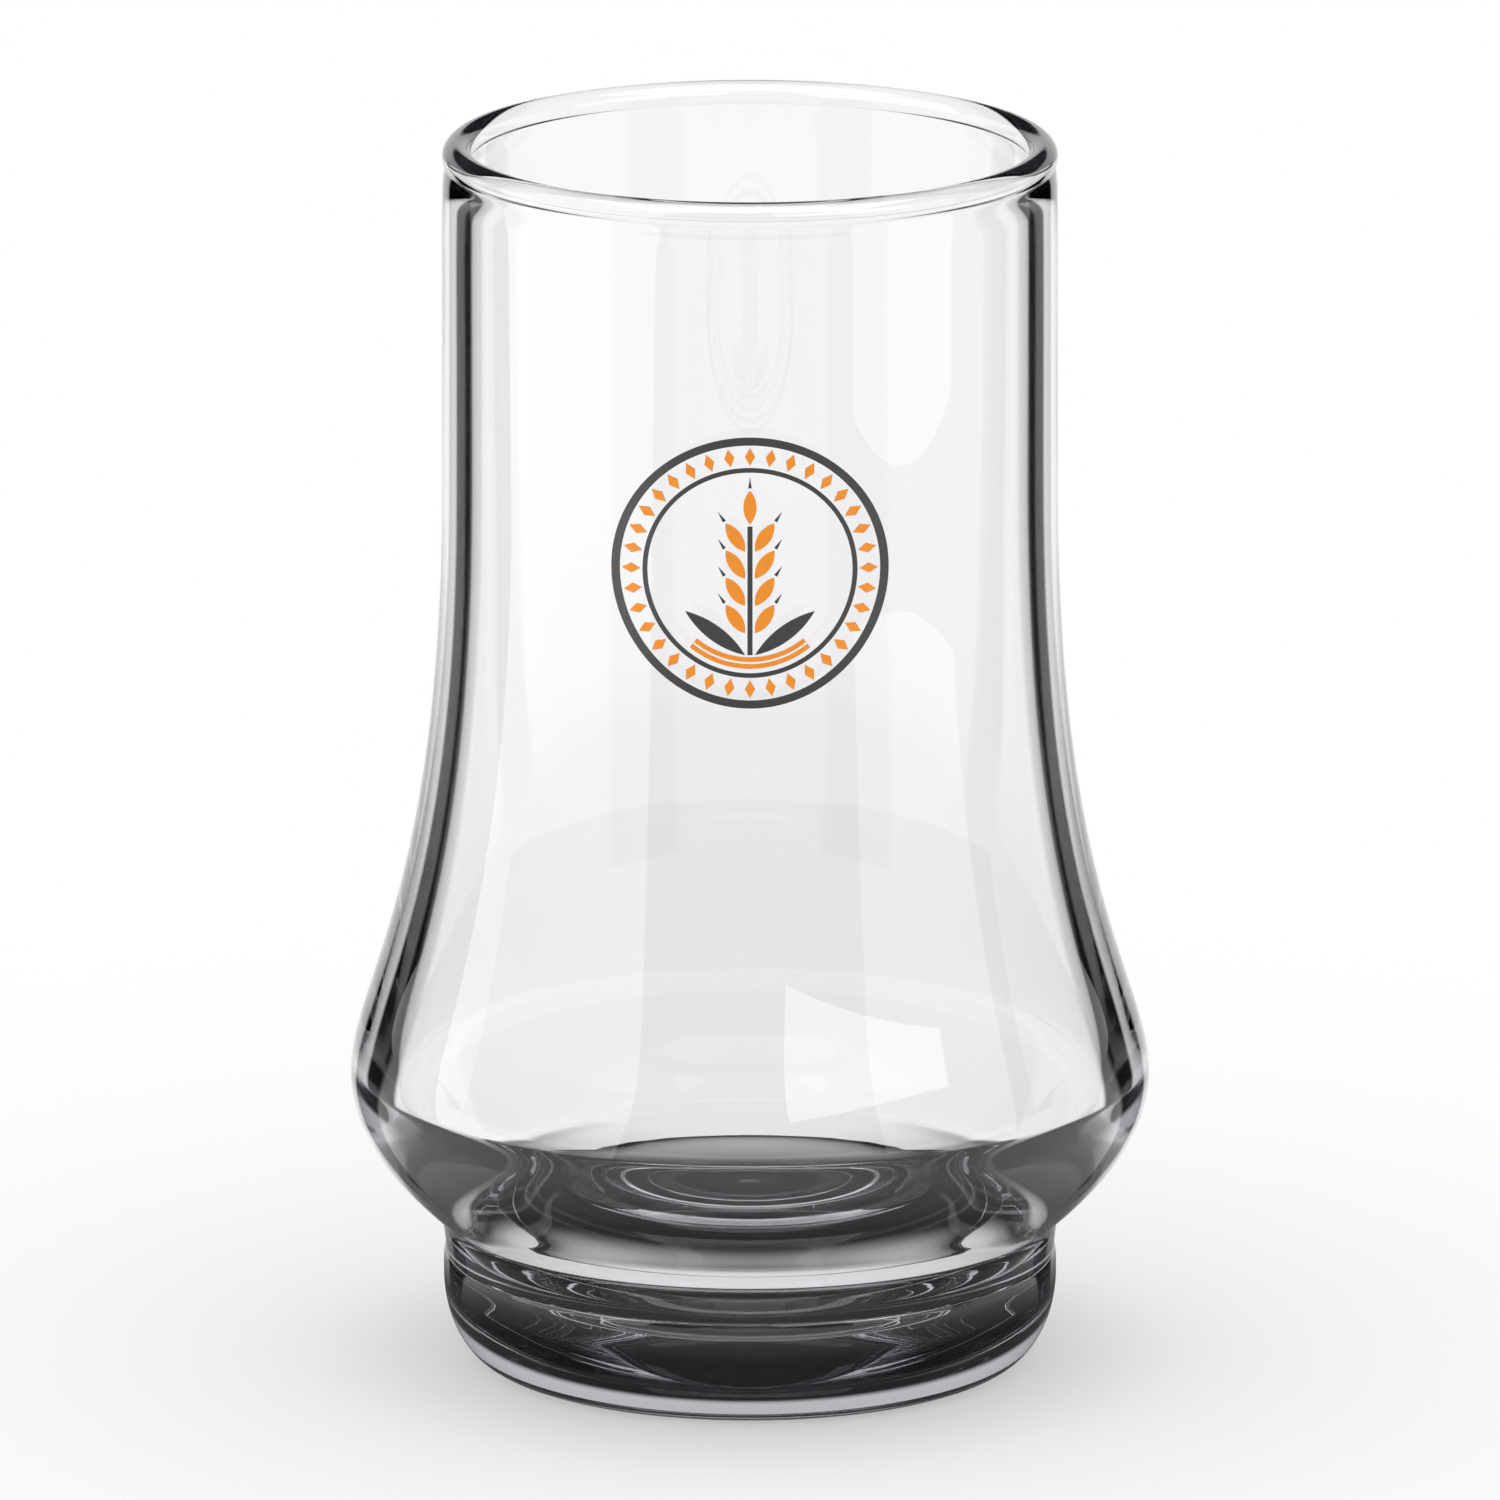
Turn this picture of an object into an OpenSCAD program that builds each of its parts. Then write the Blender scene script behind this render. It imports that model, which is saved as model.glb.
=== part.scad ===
// Tasting glass with a straight neck, a round belly and a heavy foot, with a printed badge.
// It stands on z = 0 with its axis on Z. The badge faces -Y.

/* [Bowl] */
// Height of the whole glass
glass_h = 110; // [98:1:124]
// Outer diameter at the rim
rim_d = 54; // [50:0.2:60]
// Thickness of the wall at the rim and along the neck
wall_t = 2.6; // [2:0.1:3.4]
// Outer diameter of the neck where its flare begins
neck_d = 54.2; // [50:0.2:60]
// From the rim down to where the flare begins
neck_drop = 30; // [24:0.5:36]
// Outer diameter at the widest ring of the belly
belly_d = 70.8; // [64:0.2:78]
// Thickness of the wall at the belly
belly_t = 3.9; // [3:0.1:5.5]
// Height of the widest ring above the top of the foot
belly_rise = 12.9; // [10:0.1:17]
// How strongly the flare keeps to the neck's line, as a length below its start
flare_pull = 38; // [26:0.5:44]
// How strongly the flare rounds into the widest ring, as a length above it
shoulder_pull = 7.6; // [4:0.1:11]
// How strongly the widest ring rounds into the underside, as a length below it
under_pull = 5.8; // [4:0.1:8]
// Thickness of the base under the floor of the hollow
base_t = 5.5; // [4.5:0.1:8]
// How much higher the hollow is widest than the belly is outside
hollow_lift = 0; // [0:0.1:2]
// How much closer to the axis than the foot's outside the hollow turns down into the foot
well_in = 1.2; // [0.5:0.1:2]
// Height of that turn above the top of the foot
well_rise = 3.4; // [2.5:0.1:4.5]
// Lean of the hollow's wall at that turn, in degrees away from upright
well_lean = 40; // [32:1:50]
// How strongly the hollow keeps to that lean below the turn, as a length
well_low_pull = 10.6; // [8:0.1:12]
// How strongly the hollow keeps to that lean above the turn, as a length
well_high_pull = 4.4; // [2.5:0.1:6]
// How strongly the widest ring of the hollow rounds inwards, as a length below it
hollow_pull = 0.8; // [0.4:0.1:3]

/* [Foot] */
// Height of the foot, up to the belly
foot_h = 12.9; // [11:0.1:15]
// Outer diameter of the foot at its top
foot_d = 54.4; // [50:0.2:60]
// Radius of the hollow corner between belly and foot
corner_r = 1; // [0.6:0.1:1.8]
// From the top of the foot down to its mould line
seam_drop = 3; // [2:0.1:4]
// How far the band below the mould line stands out
seam_step = 0.25; // [0.1:0.05:0.5]
// Height over which the band rounds out below the mould line
seam_round = 1.9; // [0.8:0.1:2.5]
// How far the foot draws in between its top and the mould line
foot_taper = 0.25; // [0:0.05:0.6]
// Height of the straight band between the mould line and the rounded heel
band_h = 0.3; // [0.2:0.05:3]
// Outer diameter of the ring that it stands on
rest_d = 45; // [38:0.5:49]
// Width of the ring that it stands on
rest_w = 2.4; // [1.5:0.1:4]
// Depth of the hollow under the foot
punt_h = 2.4; // [0.8:0.1:3]

/* [Badge] */
// Diameter of the badge
badge_d = 24; // [21:0.5:30]
// From the rim down to the middle of the badge
badge_drop = 32.5; // [26:0.5:40]
// Thickness of the print
ink_t = 0.1; // [0.06:0.01:0.2]
// Least gap of bare glass between two marks
ink_gap = 0.2; // [0.1:0.05:0.3]
// Width of the outer ring's line
outer_line = 0.7; // [0.4:0.05:1]
// Width of the inner ring's line
inner_line = 0.4; // [0.25:0.05:0.7]
// Length of a lozenge, along the radius
lozenge_l = 1.6; // [1:0.1:2.2]
// Width of a lozenge
lozenge_w = 0.9; // [0.5:0.1:1.2]
// Number of lozenges
lozenge_n = 36; // [24:1:44]

/* [Ear of barley] */
// Width of the stalk
stalk_w = 0.45; // [0.3:0.05:0.8]
// Length of a grain
grain_l = 3; // [2.4:0.1:3.4]
// Width of a grain
grain_w = 1.15; // [0.8:0.05:1.2]
// Lean of a grain away from the stalk, in degrees
grain_lean = 34; // [28:1:42]
// Pairs of grains
grain_pairs = 4; // [2:1:4]
// Length of a bristle
awn_l = 1; // [0.6:0.1:1.2]
// Width of a bristle at its foot
awn_w = 0.3; // [0.2:0.05:0.4]
// Length of a leaf
leaf_l = 6.4; // [4:0.1:7.5]
// Width of a leaf
leaf_w = 1.35; // [0.8:0.05:1.8]
// Lean of a leaf away from the stalk, in degrees
leaf_lean = 54; // [46:1:62]
// Number of furrow lines
furrow_n = 2; // [1:1:3]
// Width of a furrow line
furrow_line = 0.4; // [0.25:0.05:0.6]
// Half the angle that a furrow line spans, in degrees
furrow_span = 38; // [20:1:50]

/* [Hidden] */
$fn = 96;

glass_colour = [0.86, 0.87, 0.9, 0.45];
charcoal = [0.2, 0.2, 0.2];
orange = [1, 0.58, 0];

// Heights and radii of the glass
lip_r = wall_t / 2;
rim_r = rim_d / 2;
lip_z = glass_h - lip_r;
neck_r = neck_d / 2;
neck_z = glass_h - neck_drop;
belly_r = belly_d / 2;
belly_z = foot_h + belly_rise;
foot_r = foot_d / 2;
seam_z = foot_h - seam_drop;
seam_r = foot_r - foot_taper;
band_r = seam_r + seam_step;
heel_h = seam_z - seam_round - band_h;
rest_r = rest_d / 2;
punt_r = rest_r - rest_w;
hollow_r = belly_r - belly_t;
hollow_z = belly_z + hollow_lift;
well_r = foot_r - well_in;
well_z = foot_h + well_rise;

// Radii and heights of the badge, from its own middle
badge_r = badge_d / 2;
badge_z = glass_h - badge_drop;
lozenge_r = badge_r - outer_line - ink_gap - lozenge_l / 2;
inner_r = lozenge_r - lozenge_l / 2 - ink_gap;
field_r = inner_r - inner_line - 2 * ink_gap;
furrow_pitch = furrow_line + ink_gap;
stalk_foot = furrow_n * furrow_pitch - field_r;
ear_top = field_r - awn_l - ink_gap;
top_grain_y = ear_top - grain_l;
stalk_side = stalk_w / 2 + ink_gap;
grain_pitch = (grain_w + ink_gap) / sin(grain_lean);

// A point part of the way from one point to another
function between(a, b, t) = a + (b - a) * t;

// Points of a curve that leaves a towards b and arrives at c from b, without its first point
function bend(a, b, c, n) =
    [for (i = [1:n]) let (t = i / n) between(between(a, b, t), between(b, c, t), t)];

// Points of a curve from a to d that leaves towards b and arrives from c, without its first point
function sweep(a, b, c, d, n) =
    [for (i = [1:n])
        let (t = i / n, first = between(a, b, t), second = between(b, c, t), third = between(c, d, t))
        between(between(first, second, t), between(second, third, t), t)];

// Points of an arc round a middle, from one angle to another, without its first point
function arc(middle, radii, from, to, n) =
    [for (i = [1:n])
        let (angle = between(from, to, i / n))
        middle + [radii.x * cos(angle), radii.y * sin(angle)]];

function reversed(points) = [for (i = [len(points) - 1:-1:0]) points[i]];

// Outside of the wall from the lip down to the widest ring, as points of radius and height
rim_point = [rim_r, lip_z];
neck_point = [neck_r, neck_z];
belly_point = [belly_r, belly_z];
flare_start = neck_point - [0, flare_pull];
flare_end = belly_point + [0, shoulder_pull];
outer_wall = concat([rim_point, neck_point], sweep(neck_point, flare_start, flare_end, belly_point, 36));

// Outside of the underside and the foot, down to the ring that it stands on
under_control = belly_point - [0, under_pull];
corner_point = [foot_r, foot_h];
corner_top = corner_point + corner_r * (under_control - corner_point) / norm(under_control - corner_point);
corner_low = corner_point - [0, corner_r];
seam_point = [seam_r, seam_z];
band_top = seam_point + [seam_step, -seam_round];
outer_foot = concat(
    bend(belly_point, under_control, corner_top, 16),
    bend(corner_top, corner_point, corner_low, 5),
    [seam_point],
    bend(seam_point, seam_point + [seam_step, 0], band_top, 6),
    arc([rest_r, heel_h], [band_r - rest_r, heel_h], 0, -90, 16),
    [[punt_r, 0]],
    bend([punt_r, 0], [punt_r / 2, punt_h], [0, punt_h], 8)
);

// Inside of the glass, from the middle of the hollow's floor up to the lip
floor_point = [0, base_t];
floor_edge = [well_r, base_t];
well_point = [well_r, well_z];
well_way = [sin(well_lean), cos(well_lean)];
well_low = well_point - well_low_pull * well_way;
well_high = well_point + well_high_pull * well_way;
hollow_wide = [hollow_r, hollow_z];
hollow_low = hollow_wide - [0, hollow_pull];
hollow_neck = neck_point - [wall_t, 0];
hollow_start = hollow_wide + [0, shoulder_pull];
hollow_end = hollow_neck - [0, flare_pull];
inner_wall = concat(
    [floor_point],
    sweep(floor_point, floor_edge, well_low, well_point, 24),
    sweep(well_point, well_high, hollow_low, hollow_wide, 12),
    sweep(hollow_wide, hollow_start, hollow_end, hollow_neck, 36),
    [rim_point - [wall_t, 0]]
);

// The lip, a half round from the inside over to the outside, where the outer wall goes on
lip = arc([rim_r - lip_r, lip_z], [lip_r, lip_r], 180, 0, 16);
wall_below_rim = [for (i = [1:len(outer_wall) - 1]) outer_wall[i]];

// A pointed oval from the origin along +Y
module lens(length, width) {
    bow = (length * length + width * width) / (4 * width);
    translate([0, length / 2])
        intersection() {
            translate([bow - width / 2, 0]) circle(bow);
            translate([width / 2 - bow, 0]) circle(bow);
        }
}

module ring(radius, line) {
    difference() {
        circle(radius);
        circle(radius - line);
    }
}

// Puts its child at the foot of every grain, turned to the grain's lean
module at_grains() {
    translate([0, top_grain_y]) children();
    for (i = [1:grain_pairs], side = [-1, 1])
        translate([side * stalk_side, top_grain_y - i * grain_pitch])
            rotate(-side * grain_lean)
                children();
}

// A flat drawing laid onto the front of the neck, as thick as the print
module printed(ink) {
    skin = [for (p = outer_wall) p + [ink_t, 0]];
    color(ink)
        intersection() {
            rotate_extrude() polygon(concat(outer_wall, reversed(skin)));
            translate([0, 0, badge_z])
                rotate([90, 0, 0])
                    linear_extrude(belly_r) children();
        }
}

module glass_body() {
    color(glass_colour)
        rotate_extrude() polygon(concat(inner_wall, lip, wall_below_rim, outer_foot));
}

module print_outer_ring() {
    printed(charcoal) ring(badge_r, outer_line);
}

module print_lozenges() {
    printed(orange)
        for (i = [0:lozenge_n - 1])
            rotate(i * 360 / lozenge_n)
                translate([lozenge_r, 0])
                    polygon([[-lozenge_l / 2, 0], [0, -lozenge_w / 2], [lozenge_l / 2, 0], [0, lozenge_w / 2]]);
}

module print_inner_ring() {
    printed(charcoal) ring(inner_r, inner_line);
}

module print_stalk() {
    printed(charcoal)
        translate([-stalk_w / 2, stalk_foot]) square([stalk_w, top_grain_y - ink_gap - stalk_foot]);
}

module print_grains() {
    printed(orange) at_grains() lens(grain_l, grain_w);
}

module print_awns() {
    printed(charcoal)
        at_grains()
            translate([0, grain_l + ink_gap])
                polygon([[-awn_w / 2, 0], [awn_w / 2, 0], [0, awn_l]]);
}

module print_leaves() {
    printed(charcoal)
        for (side = [-1, 1])
            translate([side * stalk_side, stalk_foot])
                rotate(-side * leaf_lean)
                    lens(leaf_l, leaf_w);
}

module print_furrows() {
    reach = badge_r * tan(furrow_span);
    printed(orange)
        for (i = [0:furrow_n - 1])
            intersection() {
                ring(field_r - i * furrow_pitch, furrow_line);
                polygon([[0, 0], [-reach, -badge_r], [reach, -badge_r]]);
            }
}

glass_body();
print_outer_ring();
print_lozenges();
print_inner_ring();
print_stalk();
print_grains();
print_awns();
print_leaves();
print_furrows();
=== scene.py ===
# %% [markdown]
# # A whisky tasting glass
#
# The real object is one machine-made glass with a straight neck, a round belly and a heavy foot. A badge in
# two colours of enamel is fired onto the front of the neck. Its sizes and its solids come from CAD. Here we
# load those solids as a fixed frame, then model the same glass with a smoother surface, lay the print on it,
# and give glass and enamel their finishes. Everything is in metres and in the frame's own place: the glass
# stands on z = 0 with its axis on Z, and the badge faces -Y.

# %% Load the frame
import math

import bpy
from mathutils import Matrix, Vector


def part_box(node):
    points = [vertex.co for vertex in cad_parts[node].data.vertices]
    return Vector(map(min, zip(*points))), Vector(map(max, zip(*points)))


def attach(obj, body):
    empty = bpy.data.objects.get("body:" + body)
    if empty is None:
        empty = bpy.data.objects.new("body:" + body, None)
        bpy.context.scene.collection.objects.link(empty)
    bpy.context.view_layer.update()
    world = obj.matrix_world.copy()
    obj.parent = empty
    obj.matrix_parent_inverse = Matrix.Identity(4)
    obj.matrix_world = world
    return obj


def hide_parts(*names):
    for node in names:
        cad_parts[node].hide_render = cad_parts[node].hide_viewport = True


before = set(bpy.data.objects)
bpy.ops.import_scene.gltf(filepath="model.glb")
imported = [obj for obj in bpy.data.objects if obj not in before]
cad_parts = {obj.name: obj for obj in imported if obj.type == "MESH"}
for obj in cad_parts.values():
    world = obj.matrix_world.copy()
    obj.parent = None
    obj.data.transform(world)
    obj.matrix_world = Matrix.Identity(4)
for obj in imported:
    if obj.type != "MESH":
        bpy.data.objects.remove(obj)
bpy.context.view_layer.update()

MM = 0.001

# %% [markdown]
# ## The line of the glass
#
# A glass like this is a body of revolution, so one line tells the whole shape: from the middle of the hollow
# up the inside, over the lip, down the outside, round the foot and back to the axis underneath. The line is
# drawn with the few curves that a glass maker's drawing has. Height and widest radius are read from the
# frame; the other sizes are those of the CAD model, in millimetres.

# %% Sizes of the glass
glass_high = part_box("glass_body")[1]
glass_h = glass_high.z / MM
belly_r = glass_high.x / MM

wall_t = 2.6
rim_r = 27
lip_r = wall_t / 2
bead_turn = math.radians(26)
bead_ease = 0.35
bead_blend = 3
neck = Vector((27.1, glass_h - 30))
belly = Vector((belly_r, 25.8))
belly_t = 3.9
hollow = Vector((belly_r - belly_t, belly.y))
well = Vector((26.0, 16.3))
well_lean = math.radians(40)
well_low = 10.6
well_high = 4.4
hollow_pull = Vector((0, 0.8))
base_t = 5.5
flare_pull = Vector((0, 38))
shoulder_pull = Vector((0, 7.6))
under_pull = Vector((0, 5.8))

foot_top = Vector((27.2, 12.9))
corner_r = 1.0
seam = Vector((26.95, 9.9))
seam_step = 0.25
band_round = 1.9
heel_h = 7.7
rest_r = 22.5
punt_r = 20.1
punt_h = 2.4
print("glass", round(glass_h, 2), "mm tall and", round(2 * belly_r, 2), "mm across the belly")

# %% Curves of the drawing


def sweep(controls, count):
    """Points of the smooth curve that these control points draw, without the first one."""
    points = []
    for i in range(1, count + 1):
        row = list(controls)
        while len(row) > 1:
            row = [a.lerp(b, i / count) for a, b in zip(row, row[1:])]
        points.append(row[0])
    return points


def arc(middle, radii, start, end, count):
    """Points of an arc round middle from one angle to another in degrees, without the first one."""
    points = []
    for i in range(1, count + 1):
        angle = math.radians(start + (end - start) * i / count)
        points.append(middle + Vector((radii[0] * math.cos(angle), radii[1] * math.sin(angle))))
    return points


# %% The line from the hollow over the lip to the foot
wall = Vector((wall_t, 0))
bead = Vector((rim_r - lip_r, glass_h - lip_r))
crease_out = bead + lip_r * Vector((math.cos(bead_turn), -math.sin(bead_turn)))
crease_in = bead - lip_r * Vector((math.cos(bead_turn), math.sin(bead_turn)))
ease_out = crease_out - bead_ease * Vector((math.sin(bead_turn), math.cos(bead_turn)))
ease_in = crease_in + bead_ease * Vector((math.sin(bead_turn), -math.cos(bead_turn)))
wall_out = Vector((rim_r, crease_out.y - bead_blend))
wall_in = Vector((neck.x - wall_t, wall_out.y))
blend = Vector((0, 0.6 * bead_blend))

floor_point = Vector((0, base_t))
floor_edge = Vector((well.x, base_t))
along = Vector((math.sin(well_lean), math.cos(well_lean)))
inside = [floor_point]
inside += sweep([floor_point, floor_edge, well - well_low * along, well], 36)
inside += sweep([well, well + well_high * along, hollow - hollow_pull, hollow], 24)
inside += sweep([hollow, hollow + shoulder_pull, neck - wall - flare_pull, neck - wall], 40)
inside += sweep([neck - wall, wall_in], 6)
inside += sweep([wall_in, wall_in + blend, ease_in, crease_in], 14)

lip_end = math.degrees(bead_turn)
lip = arc(bead, (lip_r, lip_r), 180 + lip_end, -lip_end, 30)
outside = sweep([crease_out, ease_out, wall_out + blend, wall_out], 14)
outside += sweep([wall_out, neck], 6)
outside += sweep([neck, neck - flare_pull, belly + shoulder_pull, belly], 40)

under = belly - under_pull
corner_top = foot_top + corner_r * (under - foot_top).normalized()
corner_low = foot_top - Vector((0, corner_r))
band_top = seam + Vector((seam_step, -band_round))
band_r = band_top.x
foot = sweep([belly, under, corner_top], 20)
foot += sweep([corner_top, foot_top, corner_low], 8)
foot += sweep([corner_low, seam], 3)
foot += sweep([seam, seam + Vector((seam_step, 0)), band_top], 8)
foot += arc(Vector((rest_r, heel_h)), (band_r - rest_r, heel_h), 0, -90, 22)
foot += [Vector((punt_r, 0))]
foot += sweep([Vector((punt_r, 0)), Vector((punt_r / 2, punt_h)), Vector((0, punt_h))], 14)

line = inside + lip + outside + foot
print("line of", len(line), "points, bead", 2 * lip_r, "mm thick at the lip")

# %% [markdown]
# ## Glass body
#
# The bowl, the thick base and the foot are one piece of glass, blown in a mould and then fire-polished at the
# lip. It could be a tube with Solidify, but the base is many times thicker than the wall. So the whole line
# is extruded point by point from one vertex and spun once round the axis, which makes inside and outside one
# closed skin. The doubles on the axis are merged before the normals are recalculated.

# %% Extrude the line and spin it


def start_point(name, place):
    """Starts a piece as one vertex at place, in edit mode."""
    bpy.ops.object.select_all(action="DESELECT")
    bpy.ops.mesh.primitive_plane_add(size=MM)
    piece = bpy.context.object
    piece.name = name
    piece.data.name = name
    bpy.ops.object.mode_set(mode="EDIT")
    bpy.ops.mesh.select_mode(type="VERT")
    bpy.ops.mesh.select_all(action="SELECT")
    bpy.ops.mesh.merge(type="CENTER")
    bpy.ops.transform.translate(value=place)
    return piece


def close_up():
    """Merges doubles, turns all faces outwards and leaves edit mode."""
    bpy.ops.mesh.select_all(action="SELECT")
    bpy.ops.mesh.remove_doubles(threshold=0.001 * MM)
    bpy.ops.mesh.normals_make_consistent(inside=False)
    bpy.ops.object.mode_set(mode="OBJECT")


turns = 180
glass = start_point("glass", (0, 0, line[0].y * MM))
for last, point in zip(line, line[1:]):
    step = (point - last) * MM
    bpy.ops.mesh.extrude_vertices_move(TRANSFORM_OT_translate={"value": (step.x, 0, step.y)})
bpy.ops.mesh.select_all(action="SELECT")
bpy.ops.mesh.spin(steps=turns, angle=math.tau, center=(0, 0, 0), axis=(0, 0, 1))
close_up()
bpy.ops.object.shade_smooth_by_angle(angle=math.radians(40))

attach(glass, "root")
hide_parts("glass_body")
print("glass has", len(glass.data.polygons), "faces")

# %% [markdown]
# ## Print on the neck
#
# The badge is enamel, printed through a fine mesh and fired on: every mark is a thin film that follows the
# glass. Text or an image would do for flat colour, but the film has an edge that catches light. So each mark
# is drawn flat in front of the neck, projected onto the glass by Shrinkwrap, and given its thickness by
# Solidify, a little of it inside the glass so that no air shows between them.

# %% Place of the badge, and how a mark is laid on the glass
ring_low, ring_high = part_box("print_outer_ring")
badge_z = (ring_low.z + ring_high.z) / 2
badge_r = (ring_high.z - ring_low.z) / 2 / MM
badge_front = Vector((0, -glass_high.x - 5 * MM, badge_z))
film_t = 0.1
film_sunk = 0.02
ink_gap = 0.2


def to_badge(piece):
    """Moves a mark that was drawn round the origin to its place in front of the glass."""
    bpy.ops.object.select_all(action="DESELECT")
    piece.select_set(True)
    bpy.context.view_layer.objects.active = piece
    piece.location = badge_front
    bpy.ops.object.transform_apply(location=True, rotation=True, scale=True)


def lay_on_glass(piece, node):
    """Wraps a flat mark round the neck, thickens it to a film and lets it stand for its CAD node."""
    to_badge(piece)
    if piece.data.polygons[0].normal.y > 0:
        bpy.ops.object.mode_set(mode="EDIT")
        bpy.ops.mesh.select_all(action="SELECT")
        bpy.ops.mesh.flip_normals()
        bpy.ops.object.mode_set(mode="OBJECT")
    wrap = piece.modifiers.new("wrap", "SHRINKWRAP")
    wrap.target = glass
    wrap.wrap_method = "PROJECT"
    wrap.use_project_y = True
    wrap.use_positive_direction = True
    wrap.use_negative_direction = False
    bpy.ops.object.modifier_apply(modifier=wrap.name)
    film = piece.modifiers.new("film", "SOLIDIFY")
    film.thickness = (film_t + film_sunk) * MM
    film.offset = (film_t - film_sunk) / (film_t + film_sunk)
    bpy.ops.object.modifier_apply(modifier=film.name)
    bpy.ops.object.shade_smooth_by_angle(angle=math.radians(40))
    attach(piece, "root")
    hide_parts(node)
    print(piece.name, "has", len(piece.data.polygons), "faces")


print("badge", round(2 * badge_r, 2), "mm across at height", round(badge_z / MM, 2), "mm")

# %% [markdown]
# ### Two rings
#
# A ring is a circle whose edge is extruded and scaled inwards by the width of the line. The outer ring is
# the bold frame of the badge, the inner ring a fine line.

# %% Outer and inner ring


def draw_ring(name, radius, width):
    """A flat ring in the XZ plane round the origin."""
    bpy.ops.object.select_all(action="DESELECT")
    bpy.ops.mesh.primitive_circle_add(vertices=144, radius=radius * MM, rotation=(math.pi / 2, 0, 0))
    piece = bpy.context.object
    piece.name = name
    piece.data.name = name
    bpy.ops.object.transform_apply(location=False, rotation=True, scale=False)
    bpy.ops.object.mode_set(mode="EDIT")
    bpy.ops.mesh.select_all(action="SELECT")
    bpy.ops.mesh.extrude_edges_move()
    shrink = (radius - width) / radius
    bpy.ops.transform.resize(value=(shrink, 1, shrink), center_override=(0, 0, 0))
    close_up()
    return piece


outer_line = 0.7
inner_line = 0.4
inner_low, inner_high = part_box("print_inner_ring")
inner_r = (inner_high.z - inner_low.z) / 2 / MM
outer_ring = draw_ring("outer_ring", badge_r, outer_line)
lay_on_glass(outer_ring, "print_outer_ring")
inner_ring = draw_ring("inner_ring", inner_r, inner_line)
lay_on_glass(inner_ring, "print_inner_ring")

# %% [markdown]
# ### Ring of lozenges
#
# Thirty-six orange lozenges stand between the rings. One is a circle of four corners, filled and squeezed to
# its width. Spin with duplicates then sets the others round the middle, as a polar array would.

# %% Lozenges
lozenge_n = 36
lozenge_l = 1.6
lozenge_w = 0.9
lozenge_r = badge_r - outer_line - ink_gap - lozenge_l / 2

bpy.ops.object.select_all(action="DESELECT")
bpy.ops.mesh.primitive_circle_add(
    vertices=4, radius=lozenge_l / 2 * MM, fill_type="NGON", rotation=(math.pi / 2, 0, 0))
lozenges = bpy.context.object
lozenges.name = "lozenges"
lozenges.data.name = "lozenges"
bpy.ops.object.transform_apply(location=False, rotation=True, scale=False)
bpy.ops.object.mode_set(mode="EDIT")
bpy.ops.mesh.select_all(action="SELECT")
bpy.ops.transform.resize(value=(lozenge_w / lozenge_l, 1, 1), center_override=(0, 0, 0))
bpy.ops.mesh.poke()
bpy.ops.transform.translate(value=(0, 0, lozenge_r * MM))
last_turn = math.tau * (lozenge_n - 1) / lozenge_n
bpy.ops.mesh.spin(steps=lozenge_n - 1, dupli=True, angle=last_turn, center=(0, 0, 0), axis=(0, 1, 0))
bpy.ops.object.mode_set(mode="OBJECT")
lay_on_glass(lozenges, "print_lozenges")

# %% [markdown]
# ### Ear of barley
#
# The middle of the badge is an ear of barley: a stalk, grains in pairs with one at the top, a bristle at the
# tip of each grain, and two leaves. Grain and leaf are the same pointed oval, which is two arcs spun from
# one vertex and filled. Each form is modelled once with its foot at the origin, copied to its places, and
# the copies are joined.

# %% Forms of the ear


def draw_leaf(name, length, width):
    """A pointed oval in the XZ plane from the origin along +Z."""
    bow = (length * length + width * width) / (4 * width)
    sweep_angle = 2 * math.asin(length / 2 / bow)
    piece = start_point(name, (0, 0, 0))
    for side in (-1, 1):
        bpy.ops.object.mode_set(mode="OBJECT")
        for vertex in piece.data.vertices:
            vertex.select = vertex.co.length < 0.001 * MM
        bpy.ops.object.mode_set(mode="EDIT")
        middle = (side * (width / 2 - bow) * MM, 0, length / 2 * MM)
        bpy.ops.mesh.spin(steps=12, angle=side * sweep_angle, center=middle, axis=(0, 1, 0))
    bpy.ops.mesh.select_all(action="SELECT")
    bpy.ops.mesh.remove_doubles(threshold=0.001 * MM)
    bpy.ops.mesh.select_all(action="SELECT")
    bpy.ops.mesh.edge_face_add()
    bpy.ops.mesh.quads_convert_to_tris(ngon_method="BEAUTY")
    bpy.ops.object.mode_set(mode="OBJECT")
    return piece


def draw_taper(name, foot_w, top_w, length):
    """A straight mark in the XZ plane from the origin along +Z, which may end in a point."""
    piece = start_point(name, (-foot_w / 2 * MM, 0, 0))
    bpy.ops.mesh.extrude_vertices_move(TRANSFORM_OT_translate={"value": (foot_w * MM, 0, 0)})
    bpy.ops.mesh.select_all(action="SELECT")
    rows = 8
    for i in range(rows):
        width = foot_w + (top_w - foot_w) * i / rows
        next_width = foot_w + (top_w - foot_w) * (i + 1) / rows
        bpy.ops.mesh.extrude_edges_move(TRANSFORM_OT_translate={"value": (0, 0, length / rows * MM)})
        bpy.ops.transform.resize(value=(next_width / width, 1, 1), center_override=(0, 0, 0))
    close_up()
    return piece


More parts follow.
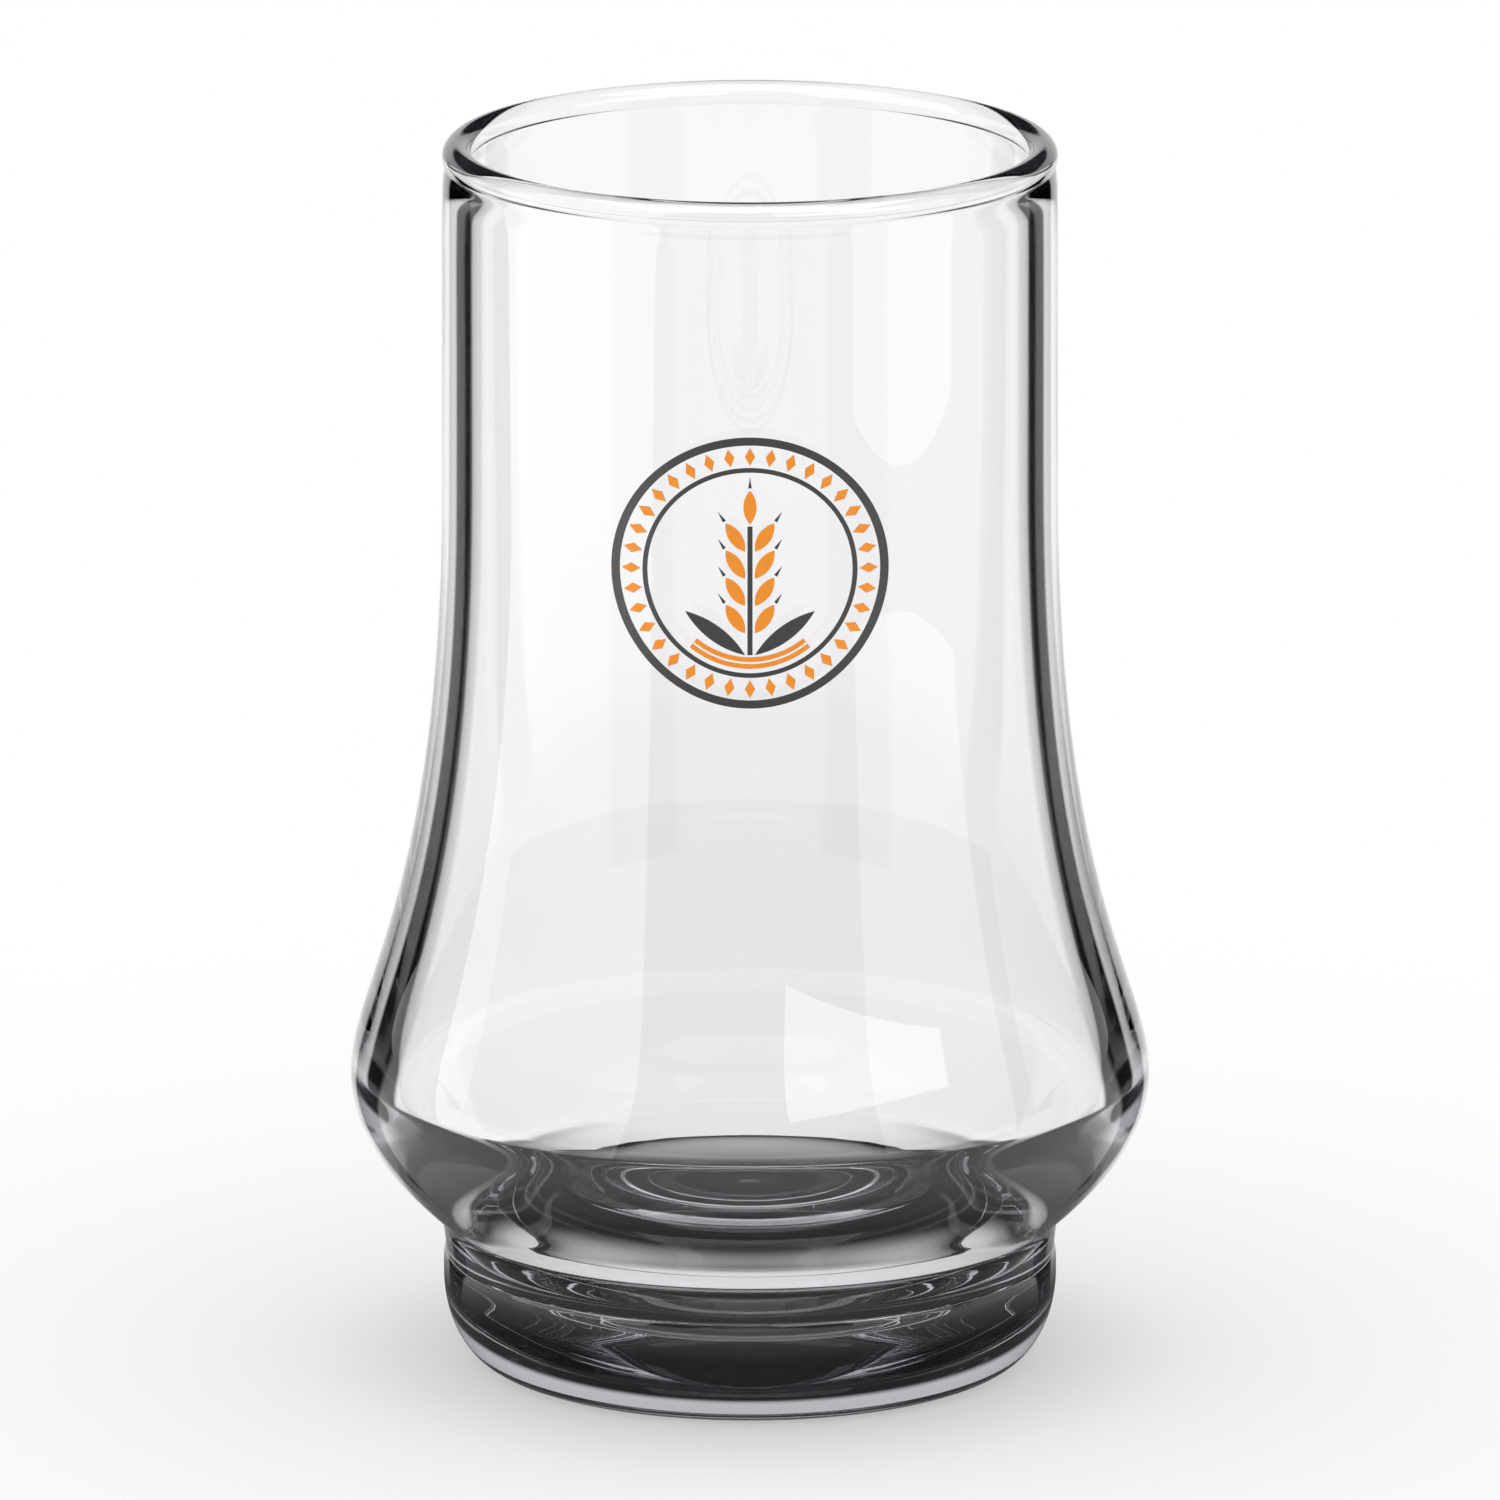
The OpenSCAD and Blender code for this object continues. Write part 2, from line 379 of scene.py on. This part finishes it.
def set_out(pattern, places):
    """Copies a mark to places of (right, up, lean) and joins the copies in its stead, under its name."""
    copies = []
    for right, up, lean in places:
        bpy.ops.object.select_all(action="DESELECT")
        pattern.select_set(True)
        bpy.context.view_layer.objects.active = pattern
        bpy.ops.object.duplicate(linked=False)
        copy = bpy.context.object
        copy.location = (right * MM, 0, up * MM)
        copy.rotation_euler = (0, math.radians(lean), 0)
        bpy.ops.object.transform_apply(location=True, rotation=True, scale=True)
        copies.append(copy)
    name = pattern.name
    bpy.data.meshes.remove(pattern.data)
    bpy.ops.object.select_all(action="DESELECT")
    for copy in copies:
        copy.select_set(True)
    bpy.context.view_layer.objects.active = copies[0]
    bpy.ops.object.join()
    joined = bpy.context.object
    joined.name = name
    joined.data.name = name
    return joined


# %% Stalk, grains, bristles and leaves
field_r = inner_r - inner_line - 2 * ink_gap
furrow_n = 2
furrow_line = 0.4
furrow_pitch = furrow_line + ink_gap
stalk_foot = furrow_n * furrow_pitch - field_r
stalk_w = 0.45
stalk_side = stalk_w / 2 + ink_gap
grain_l = 3
grain_w = 1.15
grain_lean = 34
awn_l = 1
awn_w = 0.3
leaf_l = 6.4
leaf_w = 1.35
leaf_lean = 54
top_grain = field_r - awn_l - ink_gap - grain_l
grain_pitch = (grain_w + ink_gap) / math.sin(math.radians(grain_lean))

grain_places = [(0, top_grain, 0)]
for pair in range(1, 5):
    for side in (-1, 1):
        grain_places.append((side * stalk_side, top_grain - pair * grain_pitch, side * grain_lean))

awn_places = []
for right, up, lean in grain_places:
    reach = grain_l + ink_gap
    turn = math.radians(lean)
    awn_places.append((right + reach * math.sin(turn), up + reach * math.cos(turn), lean))

stalk_l = top_grain - ink_gap - stalk_foot
stalk = set_out(draw_taper("stalk", stalk_w, stalk_w, stalk_l), [(0, stalk_foot, 0)])
lay_on_glass(stalk, "print_stalk")
grains = set_out(draw_leaf("grains", grain_l, grain_w), grain_places)
lay_on_glass(grains, "print_grains")
awns = set_out(draw_taper("bristles", awn_w, 0, awn_l), awn_places)
lay_on_glass(awns, "print_awns")
leaf_places = [(side * stalk_side, stalk_foot, side * leaf_lean) for side in (-1, 1)]
leaves = set_out(draw_leaf("leaves", leaf_l, leaf_w), leaf_places)
lay_on_glass(leaves, "print_leaves")

# %% [markdown]
# ### Furrows
#
# Two orange lines under the ear follow the inner ring, like furrows of a field. Each is one short edge
# across the line, spun through its share of the circle.

# %% Furrow lines
furrow_span = math.radians(38)


def draw_furrow(name, radius):
    """A flat arc in the XZ plane round the origin, either side of straight down."""
    start = Vector((math.sin(furrow_span), 0, -math.cos(furrow_span)))
    piece = start_point(name, start * radius * MM)
    bpy.ops.mesh.extrude_vertices_move(TRANSFORM_OT_translate={"value": start * -furrow_line * MM})
    bpy.ops.mesh.select_all(action="SELECT")
    bpy.ops.mesh.spin(steps=32, angle=-2 * furrow_span, center=(0, 0, 0), axis=(0, 1, 0))
    close_up()
    return piece


lines = [draw_furrow("furrow", field_r - i * furrow_pitch) for i in range(furrow_n)]
bpy.ops.object.select_all(action="DESELECT")
for furrow in lines:
    furrow.select_set(True)
bpy.context.view_layer.objects.active = lines[0]
bpy.ops.object.join()
furrows = bpy.context.object
furrows.name = "furrows"
furrows.data.name = "furrows"
lay_on_glass(furrows, "print_furrows")

# %% [markdown]
# ## Glass and enamel
#
# Soda-lime glass is clear with a faint grey cast, and blowing leaves slow waves in its wall. The cast grows
# with the way that light takes through the glass, so it is an absorption inside and not a colour on the
# skin. The dark base needs no paint of its own: it is the dark ceiling and the painted shade on the floor
# round and under the foot, bent by thick glass. The enamel is opaque and satin, with the faint grain of the
# printing mesh.

# %% Helpers for materials


def linear(hex_code):
    """Linear RGBA of an sRGB hex value."""
    channels = [int(hex_code[i:i + 2], 16) / 255 for i in (1, 3, 5)]
    return [c / 12.92 if c <= 0.04045 else ((c + 0.055) / 1.055) ** 2.4 for c in channels] + [1]


def add_node(tree, kind, inputs, **settings):
    """Adds a node, gives it its settings, and links or sets its inputs."""
    node = tree.nodes.new(kind)
    for name, value in settings.items():
        setattr(node, name, value)
    for name, value in inputs.items():
        if isinstance(value, bpy.types.NodeSocket):
            tree.links.new(value, node.inputs[name])
        else:
            node.inputs[name].default_value = value
    return node


def new_material(name):
    """A material that has no nodes yet."""
    material = bpy.data.materials.new(name)
    material.use_nodes = True
    material.node_tree.nodes.clear()
    return material


def per_metre(size):
    """The scale of a pattern whose features are this many millimetres apart."""
    return 1 / (size * MM)


# %% Soda-lime glass, blown in a mould
# Colourless and bright to the eye. Its slow waves make straight reflections waver, and light that goes a long
# way inside it comes out grey.
wave_pitch = 24
wave_h = 0.02
clear_glass = new_material("soda_lime_glass")
tree = clear_glass.node_tree
place = add_node(tree, "ShaderNodeTexCoord", {}).outputs["Object"]
waves = add_node(tree, "ShaderNodeTexNoise", {"Vector": place, "Scale": per_metre(wave_pitch), "Detail": 1})
wavy = add_node(
    tree, "ShaderNodeBump", {"Height": waves.outputs["Fac"], "Strength": 1, "Distance": wave_h * MM})
shader = add_node(tree, "ShaderNodeBsdfPrincipled", {
    "Base Color": linear("#fdfdfe"), "Roughness": 0, "IOR": 1.52, "Transmission Weight": 1,
    "Normal": wavy.outputs["Normal"]})
depth = add_node(tree, "ShaderNodeVolumeAbsorption", {"Color": linear("#f3f3f4"), "Density": 120})
add_node(
    tree, "ShaderNodeOutputMaterial", {"Surface": shader.outputs["BSDF"], "Volume": depth.outputs["Volume"]})
glass.data.materials.append(clear_glass)
print("glass body is", clear_glass.name)

# %% Fired enamel in two colours
# Opaque and satin to the eye. The printing mesh leaves a faint grain, drawn a little coarser than real so
# that it shows, and the firing leaves a slow mottle.
mesh_pitch = 0.15
mesh_h = 0.01
mottle_size = 0.8


def make_enamel(name, deep, light, pieces):
    """Enamel that varies between two shades of one colour, put on these pieces."""
    material = new_material(name)
    tree = material.node_tree
    place = add_node(tree, "ShaderNodeTexCoord", {}).outputs["Object"]
    mottle = add_node(
        tree, "ShaderNodeTexNoise", {"Vector": place, "Scale": per_metre(mottle_size), "Detail": 3})
    grain = add_node(
        tree, "ShaderNodeTexNoise", {"Vector": place, "Scale": per_metre(mesh_pitch), "Detail": 1})
    colour = add_node(
        tree, "ShaderNodeMix", {"Factor": mottle.outputs["Fac"], 6: linear(deep), 7: linear(light)},
        data_type="RGBA")
    gloss = add_node(
        tree, "ShaderNodeMapRange", {"Value": grain.outputs["Fac"], "To Min": 0.3, "To Max": 0.45})
    relief = add_node(
        tree, "ShaderNodeBump", {"Height": grain.outputs["Fac"], "Strength": 0.3, "Distance": mesh_h * MM})
    shader = add_node(tree, "ShaderNodeBsdfPrincipled", {
        "Base Color": colour.outputs[2], "Roughness": gloss.outputs["Result"], "IOR": 1.5,
        "Normal": relief.outputs["Normal"]})
    add_node(tree, "ShaderNodeOutputMaterial", {"Surface": shader.outputs["BSDF"]})
    for piece in pieces:
        piece.data.materials.append(material)
    print(name, "is on", [piece.name for piece in pieces])


make_enamel("charcoal_enamel", "#2d2d2d", "#393939", [outer_ring, inner_ring, stalk, awns, leaves])
make_enamel("orange_enamel", "#fb8f00", "#ff9b00", [lozenges, grains, furrows])

# %% [markdown]
# ## Studio
#
# The glass stands on a pale floor in soft light. Clear glass is drawn by what it reflects and bends, so the
# studio is set up as a photographer does it for glassware: a white table with a low white backdrop, black
# cards on the table either side of the glass, a dark ceiling and a dim room in front. The eye sees floor and
# backdrop white. Cards, ceiling and room show only by way of the glass, where they draw its dark edges and
# its dark base. The floor round and under the foot also carries painted shade that shows only by way of
# the glass.

# %% How a ray has come


def sort_rays(tree):
    """Masks by name of the way that a ray has come to the floor or the surroundings."""
    ray = add_node(tree, "ShaderNodeLightPath", {}).outputs
    # By glass: thrown back or let through by some glass
    by_glass = add_node(
        tree, "ShaderNodeMath", {0: ray["Is Glossy Ray"], 1: ray["Is Transmission Ray"]}, operation="MAXIMUM")
    # Bounced: thrown back at least once on its way through glass
    bounced = add_node(
        tree, "ShaderNodeMath", {0: ray["Glossy Depth"], 1: ray["Transmission Depth"]}, operation="MINIMUM")
    bounced = add_node(tree, "ShaderNodeMath", {0: bounced.outputs[0], 1: 0.5}, operation="GREATER_THAN")
    # In one wall: bounced, but only once in and once out of glass
    in_wall = add_node(tree, "ShaderNodeMath", {0: ray["Transmission Depth"], 1: 2.5}, operation="LESS_THAN")
    in_wall = add_node(
        tree, "ShaderNodeMath", {0: in_wall.outputs[0], 1: bounced.outputs[0]}, operation="MULTIPLY")
    # Mirrored: thrown back by the outside of the glass alone
    mirrored = add_node(tree, "ShaderNodeMath", {0: ray["Transmission Depth"], 1: 0.5}, operation="LESS_THAN")
    mirrored = add_node(
        tree, "ShaderNodeMath", {0: mirrored.outputs[0], 1: ray["Is Glossy Ray"]}, operation="MULTIPLY")
    return {
        "straight": ray["Is Camera Ray"],
        "by_glass": by_glass.outputs[0],
        "bounced": bounced.outputs[0],
        "in_wall": in_wall.outputs[0],
        "mirrored": mirrored.outputs[0],
    }


print("rays are sorted by their way through glass")

# %% Surroundings: white backdrop, dark ceiling, dim room in front
white = (1, 1, 1, 1)
room_light = linear("#e4e4e4")
ceiling = linear("#2a2a2b")
# The dim room in front; on the floor close by, the same grey is painted shade
dim_room_and_shade = linear("#5a5a5b")
# Heights are sines of the angle above the horizon
backdrop_top = 0.21
ceiling_edge = 0.26

world = bpy.data.worlds.new("studio")
bpy.context.scene.world = world
world.use_nodes = True
tree = world.node_tree
tree.nodes.clear()
way = sort_rays(tree)
towards = add_node(tree, "ShaderNodeTexCoord", {}).outputs["Generated"]
spot = add_node(tree, "ShaderNodeSeparateXYZ", {"Vector": towards}).outputs
low_sky = add_node(
    tree, "ShaderNodeMapRange", {"Value": spot["Z"], "From Min": ceiling_edge, "From Max": backdrop_top},
    interpolation_type="SMOOTHSTEP")
view = add_node(
    tree, "ShaderNodeMix", {"Factor": low_sky.outputs["Result"], 6: ceiling, 7: white}, data_type="RGBA")
front = add_node(tree, "ShaderNodeMath", {0: spot["Y"], 1: 0}, operation="LESS_THAN")
front = add_node(tree, "ShaderNodeMath", {0: front.outputs[0], 1: way["mirrored"]}, operation="MULTIPLY")
view = add_node(
    tree, "ShaderNodeMix", {"Factor": front.outputs[0], 6: view.outputs[2], 7: dim_room_and_shade}, data_type="RGBA")
view = add_node(
    tree, "ShaderNodeMix", {"Factor": way["by_glass"], 6: room_light, 7: view.outputs[2]}, data_type="RGBA")
view = add_node(
    tree, "ShaderNodeMix", {"Factor": way["straight"], 6: view.outputs[2], 7: white}, data_type="RGBA")
sky = add_node(tree, "ShaderNodeBackground", {"Color": view.outputs[2], "Strength": 1})
add_node(tree, "ShaderNodeOutputWorld", {"Surface": sky.outputs["Background"]})
print("surroundings are white up to", round(math.degrees(math.asin(backdrop_top))), "degrees")

# %% Black cards beside a white strip of floor
strip_half = 28 * MM
card_middle = math.radians(39)
card_edge = math.radians(15)
card_full = math.radians(11)


def beside_strip(tree, spot):
    """Mask of the cards: wedges either side of a strip, in front of the glass and behind it."""
    across = add_node(tree, "ShaderNodeMath", {0: spot["X"]}, operation="ABSOLUTE")
    across = add_node(tree, "ShaderNodeMath", {0: across.outputs[0], 1: strip_half}, operation="SUBTRACT")
    along = add_node(tree, "ShaderNodeMath", {0: spot["Y"]}, operation="ABSOLUTE")
    turn = add_node(tree, "ShaderNodeMath", {0: across.outputs[0], 1: along.outputs[0]}, operation="ARCTAN2")
    turn = add_node(tree, "ShaderNodeMath", {0: turn.outputs[0], 1: card_middle}, operation="SUBTRACT")
    turn = add_node(tree, "ShaderNodeMath", {0: turn.outputs[0]}, operation="ABSOLUTE")
    card = add_node(
        tree, "ShaderNodeMapRange", {"Value": turn.outputs[0], "From Min": card_edge, "From Max": card_full},
        interpolation_type="SMOOTHSTEP")
    return card.outputs["Result"]


print("white strip", round(2 * strip_half / MM), "mm wide between the cards")

# %% Floor
bpy.ops.object.select_all(action="DESELECT")
bpy.ops.mesh.primitive_circle_add(vertices=96, radius=6, fill_type="NGON")
floor = bpy.context.object
floor.name = "floor"
print("floor", round(floor.dimensions.x), "m across")

# %% Which part of the floor a ray meets
# Painted shade on the table round the foot
painted_table_shade = linear("#383839")
# Painted shadow under the foot, seen only by way of the glass
painted_foot_shadow = linear("#29292a")
black_card = linear("#141414")
contact_near = 34 * MM
contact_far = 46 * MM
beside_near = 55 * MM
beside_far = 110 * MM
shade_near = 30 * MM
shade_far = 80 * MM

floor_paint = new_material("pale_floor")
tree = floor_paint.node_tree
way = sort_rays(tree)
place = add_node(tree, "ShaderNodeTexCoord", {}).outputs["Object"]
spot = add_node(tree, "ShaderNodeSeparateXYZ", {"Vector": place}).outputs
reach = add_node(tree, "ShaderNodeVectorMath", {0: place}, operation="LENGTH").outputs["Value"]
# Painted shadow: the floor under and just behind the foot is dark where the glass shows it
beneath = add_node(
    tree, "ShaderNodeMapRange", {"Value": reach, "From Min": contact_far, "From Max": contact_near},
    interpolation_type="SMOOTHSTEP")
# Painted shade on the table round the foot, for light that has bounced in the glass
beside = add_node(
    tree, "ShaderNodeMapRange", {"Value": reach, "From Min": beside_far, "From Max": beside_near},
    interpolation_type="SMOOTHSTEP")
beside = add_node(
    tree, "ShaderNodeMath", {0: beside.outputs["Result"], 1: way["bounced"]}, operation="MULTIPLY")
# The shade close by, as the outside of the glass mirrors it
shaded = add_node(
    tree, "ShaderNodeMapRange", {"Value": reach, "From Min": shade_far, "From Max": shade_near},
    interpolation_type="SMOOTHSTEP")
shaded = add_node(
    tree, "ShaderNodeMath", {0: shaded.outputs["Result"], 1: way["mirrored"]}, operation="MULTIPLY")
# The cards, for all turned light behind the glass and in front only for light that stayed in one wall
turned = add_node(tree, "ShaderNodeMath", {0: way["bounced"], 1: way["mirrored"]}, operation="MAXIMUM")
behind = add_node(tree, "ShaderNodeMath", {0: spot["Y"], 1: 0}, operation="GREATER_THAN")
turned = add_node(
    tree, "ShaderNodeMix", {"Factor": behind.outputs[0], 2: way["in_wall"], 3: turned.outputs[0]},
    data_type="FLOAT")
card = add_node(
    tree, "ShaderNodeMath", {0: beside_strip(tree, spot), 1: turned.outputs[0]}, operation="MULTIPLY")
print("dark under the foot to", round(contact_near / MM), "mm")

# %% Paint and glow of the floor
shadow_near = 30 * MM
shadow_far = 160 * MM
shadow_glow = 0.4

glow = add_node(tree, "ShaderNodeMix", {"Factor": card.outputs[0], 6: white, 7: black_card}, data_type="RGBA")
# Painted shade round the foot
glow = add_node(
    tree, "ShaderNodeMix", {"Factor": beside.outputs[0], 6: glow.outputs[2], 7: painted_table_shade}, data_type="RGBA")
# Painted shadow under the foot
glow = add_node(
    tree, "ShaderNodeMix", {"Factor": beneath.outputs["Result"], 6: glow.outputs[2], 7: painted_foot_shadow},
    data_type="RGBA")
# Painted shade close by, in the grey of the dim room
glow = add_node(
    tree, "ShaderNodeMix", {"Factor": shaded.outputs[0], 6: glow.outputs[2], 7: dim_room_and_shade}, data_type="RGBA")
glow = add_node(
    tree, "ShaderNodeMix", {"Factor": way["straight"], 6: glow.outputs[2], 7: white}, data_type="RGBA")
# Near the glass the floor keeps more of its paint, which takes the shadow
open_floor = add_node(
    tree, "ShaderNodeMapRange",
    {"Value": reach, "From Min": shadow_near, "From Max": shadow_far, "To Min": shadow_glow},
    interpolation_type="SMOOTHSTEP")
lit = add_node(
    tree, "ShaderNodeMath", {0: way["straight"], 1: open_floor.outputs["Result"]}, operation="MULTIPLY")
lit = add_node(tree, "ShaderNodeMath", {0: lit.outputs[0], 1: way["by_glass"]}, operation="MAXIMUM")
paint = add_node(tree, "ShaderNodeBsdfDiffuse", {"Color": linear("#f6f6f6")})
shine = add_node(tree, "ShaderNodeEmission", {"Color": glow.outputs[2], "Strength": 1})
both = add_node(
    tree, "ShaderNodeMixShader", {0: lit.outputs[0], 1: paint.outputs["BSDF"], 2: shine.outputs["Emission"]})
add_node(tree, "ShaderNodeOutputMaterial", {"Surface": both.outputs["Shader"]})
floor.data.materials.append(floor_paint)
print("floor is", floor_paint.name)

# %% [markdown]
# ## Lamps
#
# A tall soft box at the front left makes the long white streak down the glass, and one at the right the panel
# on the other side. A window further off gives the bright patch on the belly, and a box above gives the lip
# its light. These four are only mirrored. A wide one overhead lights the floor and softens the shadow.

# %% Soft boxes
glass_middle = Vector((0, 0, glass_h / 2 * MM))


def soft_box(name, turn, lift, distance, width, height, glow):
    """An area lamp at an angle round the glass from the front and above it, aimed at the glass."""
    lamp = bpy.data.lights.new(name, "AREA")
    lamp.shape = "RECTANGLE"
    lamp.size = width
    lamp.size_y = height
    lamp.energy = glow * math.pi * width * height
    stand = bpy.data.objects.new(name, lamp)
    bpy.context.scene.collection.objects.link(stand)
    across = math.radians(turn)
    up = math.radians(lift)
    away = Vector((math.sin(across) * math.cos(up), -math.cos(across) * math.cos(up), math.sin(up)))
    stand.location = glass_middle + away * distance
    stand.rotation_euler = (-away).to_track_quat("-Z", "Y").to_euler()
    stand.visible_camera = False
    print(name, "gives", round(lamp.energy, 2), "W")
    return stand


def mirror_only(stand):
    """Lets a lamp be seen in the outside of the glass and nowhere else."""
    stand.visible_diffuse = False
    stand.visible_transmission = False
    stand.data.use_nodes = True
    tree = stand.data.node_tree
    tree.nodes.clear()
    depth = add_node(tree, "ShaderNodeLightPath", {}).outputs["Transmission Depth"]
    outside = add_node(tree, "ShaderNodeMath", {0: depth, 1: 0.5}, operation="LESS_THAN")
    glow = add_node(tree, "ShaderNodeEmission", {"Strength": outside.outputs[0]})
    add_node(tree, "ShaderNodeOutputLight", {"Surface": glow.outputs["Emission"]})


# Degrees round from the front and up, then distance, width and height in metres, and level
mirror_only(soft_box("left_soft_box", -65, 20, 0.17, 0.22, 0.3, 1.8))
mirror_only(soft_box("right_soft_box", 58, 14, 0.38, 0.3, 0.3, 1.4))
mirror_only(soft_box("window", 36, 25, 1.0, 0.9, 0.35, 2.6))
mirror_only(soft_box("lip_box", 0, 70, 0.8, 1.2, 0.8, 4))
soft_box("top_soft_box", 0, 88, 1.3, 1.2, 1.2, 1.2).visible_glossy = False

# %% [markdown]
# ## Camera
#
# The picture was taken from about fourteen degrees above the horizon with a long lens. Distance, lens and
# aim come from fitting the rim's ellipse, the outline and the foot's mould line.

# %% Camera
lens_data = bpy.data.cameras.new("camera")
lens_data.lens = 461.4
lens_data.sensor_width = 36
camera = bpy.data.objects.new("camera", lens_data)
bpy.context.scene.collection.objects.link(camera)
camera.location = (0, -1.648, 0.461)
aim = glass_middle - camera.location
camera.rotation_euler = aim.to_track_quat("-Z", "Y").to_euler()
bpy.context.scene.camera = camera
bpy.context.scene.view_settings.view_transform = "Standard"
# Light in the base is thrown to and fro many times
bounces = 48
bpy.context.scene.cycles.max_bounces = bounces
bpy.context.scene.cycles.transmission_bounces = bounces
bpy.context.scene.cycles.glossy_bounces = bounces
print("camera", round(aim.length, 3), "m away")
